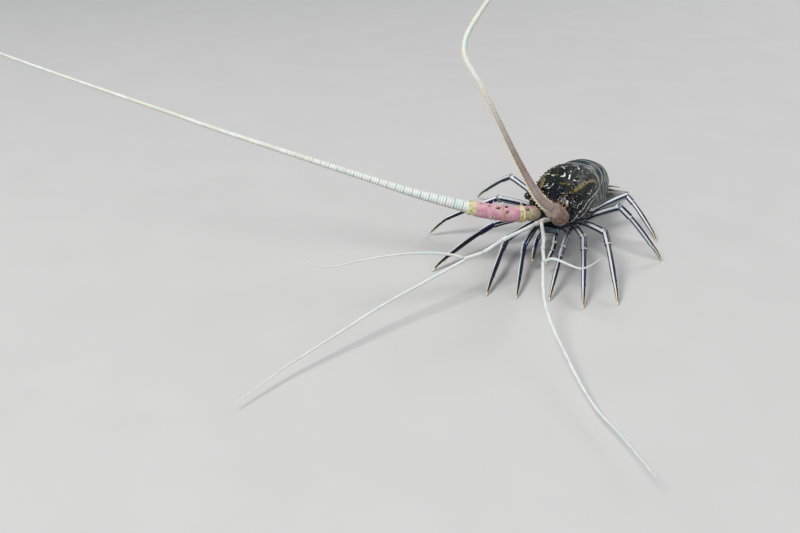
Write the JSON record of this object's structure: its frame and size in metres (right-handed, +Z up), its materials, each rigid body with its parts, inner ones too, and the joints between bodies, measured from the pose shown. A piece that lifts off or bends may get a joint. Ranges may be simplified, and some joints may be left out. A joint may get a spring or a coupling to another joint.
{
  "type": "spiny lobster",
  "caption": "Life-size still model of a standing painted spiny lobster, one long antenna held out to its right and the other raised, feelers reaching forward, tail fan spread.",
  "frame": {"origin": "on the floor, in the middle of the bounding box's underside", "axes": "+Z up, the head towards -Y, the animal's left side towards +X"},
  "size_m": [0.5878, 0.46, 0.2748],
  "materials": {
    "carapace_shell": "satin shell, blue-black with cream and white blotches, lines and dots",
    "abdomen_shell": "satin shell, dark green to blue-black, one white band across each ring and small white dots",
    "tail_fan": "satin horny plates, dark blue-green with pale rays and a pale edge",
    "leg_shell": "satin shell, deep navy with white lines along each limb",
    "maxilliped_shell": "satin shell, deep navy with white marks",
    "peduncle_shell": "satin shell, pink with dark spine bases and cream joints",
    "antenna_whip": "matt, ringed, white to cream",
    "antennule_shell": "matt white with faint grey joints",
    "antennular_plate": "satin shell, dark with cream marks",
    "horn_shell": "satin shell, blue-black with white bars",
    "eye": "glossy black cornea on a dark stalk",
    "underside_shell": "satin shell, grey-blue with white marks"
  },
  "bodies": {
    "root": {"abdomen_1": "abdomen_shell", "abdomen_2": "abdomen_shell", "abdomen_3": "abdomen_shell", "abdomen_4": "abdomen_shell", "abdomen_5": "abdomen_shell", "abdomen_6": "abdomen_shell", "antenna_left_base": "peduncle_shell", "antenna_left_last": "peduncle_shell", "antenna_left_middle": "peduncle_shell", "antenna_left_whip_1": "antenna_whip", "antenna_left_whip_2": "antenna_whip", "antenna_left_whip_3": "antenna_whip", "antenna_right_base": "peduncle_shell", "antenna_right_last": "peduncle_shell", "antenna_right_middle": "peduncle_shell", "antenna_right_whip_1": "antenna_whip", "antenna_right_whip_2": "antenna_whip", "antenna_right_whip_3": "antenna_whip", "antennular_plate": "antennular_plate", "antennule_left_base": "antennule_shell", "antennule_left_long": "antennule_shell", "antennule_left_short": "antennule_shell", "antennule_right_base": "antennule_shell", "antennule_right_long": "antennule_shell", "antennule_right_short": "antennule_shell", "carapace": "carapace_shell", "eye_left": "eye", "eye_right": "eye", "horn_left": "horn_shell", "horn_right": "horn_shell", "leg_left_1_lower": "leg_shell", "leg_left_1_upper": "leg_shell", "leg_left_2_lower": "leg_shell", "leg_left_2_upper": "leg_shell", "leg_left_3_lower": "leg_shell", "leg_left_3_upper": "leg_shell", "leg_left_4_lower": "leg_shell", "leg_left_4_upper": "leg_shell", "leg_left_5_lower": "leg_shell", "leg_left_5_upper": "leg_shell", "leg_right_1_lower": "leg_shell", "leg_right_1_upper": "leg_shell", "leg_right_2_lower": "leg_shell", "leg_right_2_upper": "leg_shell", "leg_right_3_lower": "leg_shell", "leg_right_3_upper": "leg_shell", "leg_right_4_lower": "leg_shell", "leg_right_4_upper": "leg_shell", "leg_right_5_lower": "leg_shell", "leg_right_5_upper": "leg_shell", "maxilliped_left": "maxilliped_shell", "maxilliped_right": "maxilliped_shell", "mouthparts": "underside_shell", "tail_left_inner": "tail_fan", "tail_left_outer": "tail_fan", "tail_right_inner": "tail_fan", "tail_right_outer": "tail_fan", "telson": "tail_fan", "thorax_floor": "underside_shell"}
  },
  "joints": []
}
